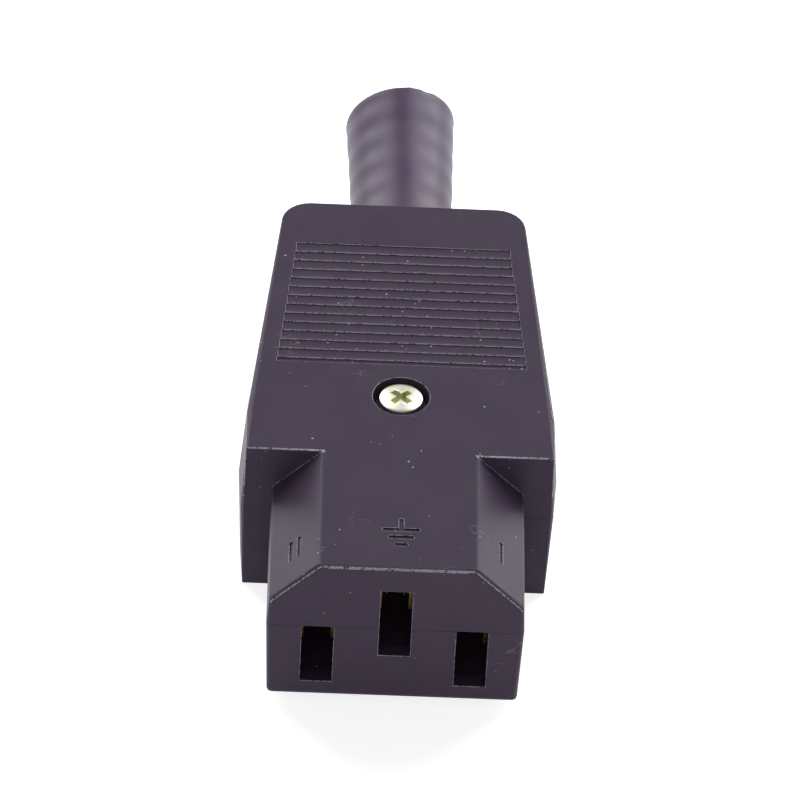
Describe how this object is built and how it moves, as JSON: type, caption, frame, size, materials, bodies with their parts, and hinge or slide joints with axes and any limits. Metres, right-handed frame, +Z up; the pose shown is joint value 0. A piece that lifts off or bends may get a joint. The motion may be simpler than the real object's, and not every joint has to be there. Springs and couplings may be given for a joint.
{
  "type": "line socket connector",
  "caption": "Rewirable C13 line socket: keyed nose with three pin slots, tapered two-shell body with a ribbed grip, one screw and a ringed rubber cord boot.",
  "frame": {"origin": "middle of the bounding box on the flat underside", "axes": "+X across the three slots, +Y from the nose towards the cord boot, +Z up"},
  "size_m": [0.0286, 0.0728, 0.0167],
  "materials": {
    "shell": "black moulded thermoplastic, fine satin grain",
    "boot": "soft black rubber, slightly shiny",
    "zinc": "zinc plated steel, yellow passivated",
    "brass": "plain brass",
    "steel": "bright spring steel"
  },
  "bodies": {
    "root": {"lower_shell": "shell", "upper_shell": "shell", "strain_relief_boot": "boot", "assembly_screw": "zinc", "assembly_nut": "zinc", "line_contact": "brass", "neutral_contact": "brass", "earth_contact": "brass", "line_contact_clip": "steel", "neutral_contact_clip": "steel", "earth_contact_clip": "steel", "line_terminal": "brass", "neutral_terminal": "brass", "earth_terminal": "brass", "line_terminal_screw": "steel", "neutral_terminal_screw": "steel", "earth_terminal_screw": "steel", "cord_clamp": "shell", "cord_clamp_screw_left": "zinc", "cord_clamp_screw_right": "zinc"}
  },
  "joints": []
}
